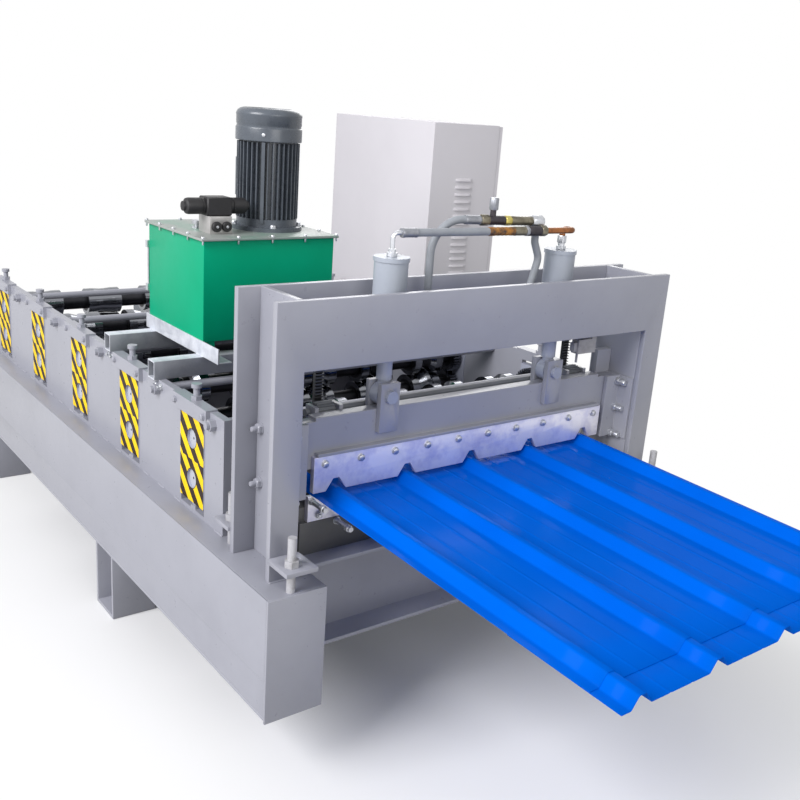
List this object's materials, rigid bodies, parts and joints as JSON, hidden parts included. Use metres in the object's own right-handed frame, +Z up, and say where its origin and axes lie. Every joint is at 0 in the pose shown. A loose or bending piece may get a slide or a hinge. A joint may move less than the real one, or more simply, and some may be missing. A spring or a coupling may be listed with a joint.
{
  "type": "roll forming machine",
  "caption": "Roll forming line for ribbed roofing sheet: long bed, roll stations between side walls, hydraulic cut-off shear, oil tank with pump motor and control cabinet.",
  "frame": {"origin": "middle of the footprint on the floor", "axes": "+X across the machine towards the control cabinet, +Y along the machine towards the infeed end, +Z up"},
  "size_m": [2, 4.058, 1.805],
  "materials": {
    "grey_paint": "satin machine paint",
    "galvanised": "galvanised",
    "chrome": "hard chrome rolls on dark shafts",
    "dark_steel": "oiled",
    "zinc": "zinc plated",
    "hazard": "yellow with black stripes",
    "green_paint": "semi-gloss",
    "lid_paint": "satin",
    "motor_grey": "satin",
    "black": "matte",
    "aluminium": "cast, satin",
    "blue_sheet": "glossy coil coating",
    "cabinet": "fine texture powder coat",
    "rubber": "hose",
    "brass": "plated fittings"
  },
  "bodies": {
    "machine_frame": {"anchor_brackets": "grey_paint", "anchor_studs": "zinc", "bearing_blocks": "hazard", "bed_beams": "grey_paint", "bed_cross_beams": "grey_paint", "bed_end_plates": "grey_paint", "bed_legs": "grey_paint", "bed_side_plates": "grey_paint", "blade_guides": "grey_paint", "cabinet_door": "cabinet", "control_cabinet": "cabinet", "directional_valve": "black", "drive_base_plate": "grey_paint", "drive_chains": "dark_steel", "drive_gearmotor": "motor_grey", "entry_guide": "grey_paint", "formed_sheet": "blue_sheet", "hose_fittings": "brass", "hydraulic_cylinders": "grey_paint", "hydraulic_hoses": "rubber", "jack_screws": "zinc", "keeper_bars": "grey_paint", "lapped_sheet": "blue_sheet", "limit_switch": "black", "lower_blade": "galvanised", "lower_blade_holder": "grey_paint", "motor_fan_cowl": "motor_grey", "oil_tank": "green_paint", "portal_back_plate": "grey_paint", "portal_front_plate": "grey_paint", "portal_inner_plates": "grey_paint", "pump_motor": "motor_grey", "rack_bars": "dark_steel", "side_walls": "grey_paint", "tank_frame": "galvanised", "tank_lid": "lid_paint", "tie_bars": "zinc", "valve_manifold": "aluminium"},
    "blade_carriage": {"upper_blade": "galvanised", "blade_beam": "grey_paint", "clevis_plates": "grey_paint", "clevis_pins": "zinc", "piston_rods": "zinc", "shaft_brackets": "grey_paint"},
    "balance_shaft": {"balance_shaft": "dark_steel"},
    "drive_sprocket": {"drive_sprocket": "dark_steel"},
    "lower_roll_shaft_1": {"lower_roll_1": "chrome"},
    "upper_roll_shaft_1": {"upper_roll_1": "chrome"},
    "lower_roll_shaft_2": {"lower_roll_2": "chrome"},
    "upper_roll_shaft_2": {"upper_roll_2": "chrome"},
    "lower_roll_shaft_3": {"lower_roll_3": "chrome"},
    "upper_roll_shaft_3": {"upper_roll_3": "chrome"},
    "lower_roll_shaft_4": {"lower_roll_4": "chrome"},
    "upper_roll_shaft_4": {"upper_roll_4": "chrome"},
    "lower_roll_shaft_5": {"lower_roll_5": "chrome"},
    "upper_roll_shaft_5": {"upper_roll_5": "chrome"}
  },
  "joints": [
    {"name": "shear_slide", "type": "slide", "parent": "machine_frame", "child": "blade_carriage", "axis": [0, 0, 1], "range_m": [-0.014, 0.06]},
    {"name": "balance_shaft_turn", "type": "hinge", "parent": "blade_carriage", "child": "balance_shaft", "pos_m": [-0.2, -0.839, 1.012], "axis": [1, 0, 0], "range_deg": [-145, 35]},
    {"name": "lower_roll_turn_1", "type": "hinge", "parent": "machine_frame", "child": "lower_roll_shaft_1", "pos_m": [-0.2, -0.486, 0.72], "axis": [1, 0, 0], "continuous": true},
    {"name": "upper_roll_turn_1", "type": "hinge", "parent": "machine_frame", "child": "upper_roll_shaft_1", "pos_m": [-0.2, -0.486, 0.848], "axis": [1, 0, 0], "continuous": true},
    {"name": "lower_roll_turn_2", "type": "hinge", "parent": "machine_frame", "child": "lower_roll_shaft_2", "pos_m": [-0.2, 0.007, 0.72], "axis": [1, 0, 0], "continuous": true},
    {"name": "upper_roll_turn_2", "type": "hinge", "parent": "machine_frame", "child": "upper_roll_shaft_2", "pos_m": [-0.2, 0.007, 0.848], "axis": [1, 0, 0], "continuous": true},
    {"name": "lower_roll_turn_3", "type": "hinge", "parent": "machine_frame", "child": "lower_roll_shaft_3", "pos_m": [-0.2, 0.5, 0.72], "axis": [1, 0, 0], "continuous": true},
    {"name": "upper_roll_turn_3", "type": "hinge", "parent": "machine_frame", "child": "upper_roll_shaft_3", "pos_m": [-0.2, 0.5, 0.848], "axis": [1, 0, 0], "continuous": true},
    {"name": "lower_roll_turn_4", "type": "hinge", "parent": "machine_frame", "child": "lower_roll_shaft_4", "pos_m": [-0.2, 0.993, 0.72], "axis": [1, 0, 0], "continuous": true},
    {"name": "upper_roll_turn_4", "type": "hinge", "parent": "machine_frame", "child": "upper_roll_shaft_4", "pos_m": [-0.2, 0.993, 0.848], "axis": [1, 0, 0], "continuous": true},
    {"name": "lower_roll_turn_5", "type": "hinge", "parent": "machine_frame", "child": "lower_roll_shaft_5", "pos_m": [-0.2, 1.486, 0.72], "axis": [1, 0, 0], "continuous": true},
    {"name": "upper_roll_turn_5", "type": "hinge", "parent": "machine_frame", "child": "upper_roll_shaft_5", "pos_m": [-0.2, 1.486, 0.848], "axis": [1, 0, 0], "continuous": true},
    {"name": "drive_sprocket_turn", "type": "hinge", "parent": "machine_frame", "child": "drive_sprocket", "pos_m": [0.5, 1.859, 0.702], "axis": [1, 0, 0], "continuous": true}
  ],
  "couplings": [
    {"joint": "balance_shaft_turn", "follows": "shear_slide", "rad_per_m": -41.667},
    {"joint": "upper_roll_turn_1", "follows": "lower_roll_turn_1", "ratio": -1},
    {"joint": "lower_roll_turn_2", "follows": "lower_roll_turn_1", "ratio": 1},
    {"joint": "upper_roll_turn_2", "follows": "lower_roll_turn_1", "ratio": -1},
    {"joint": "lower_roll_turn_3", "follows": "lower_roll_turn_1", "ratio": 1},
    {"joint": "upper_roll_turn_3", "follows": "lower_roll_turn_1", "ratio": -1},
    {"joint": "lower_roll_turn_4", "follows": "lower_roll_turn_1", "ratio": 1},
    {"joint": "upper_roll_turn_4", "follows": "lower_roll_turn_1", "ratio": -1},
    {"joint": "lower_roll_turn_5", "follows": "lower_roll_turn_1", "ratio": 1},
    {"joint": "upper_roll_turn_5", "follows": "lower_roll_turn_1", "ratio": -1},
    {"joint": "drive_sprocket_turn", "follows": "lower_roll_turn_1", "ratio": 1}
  ]
}
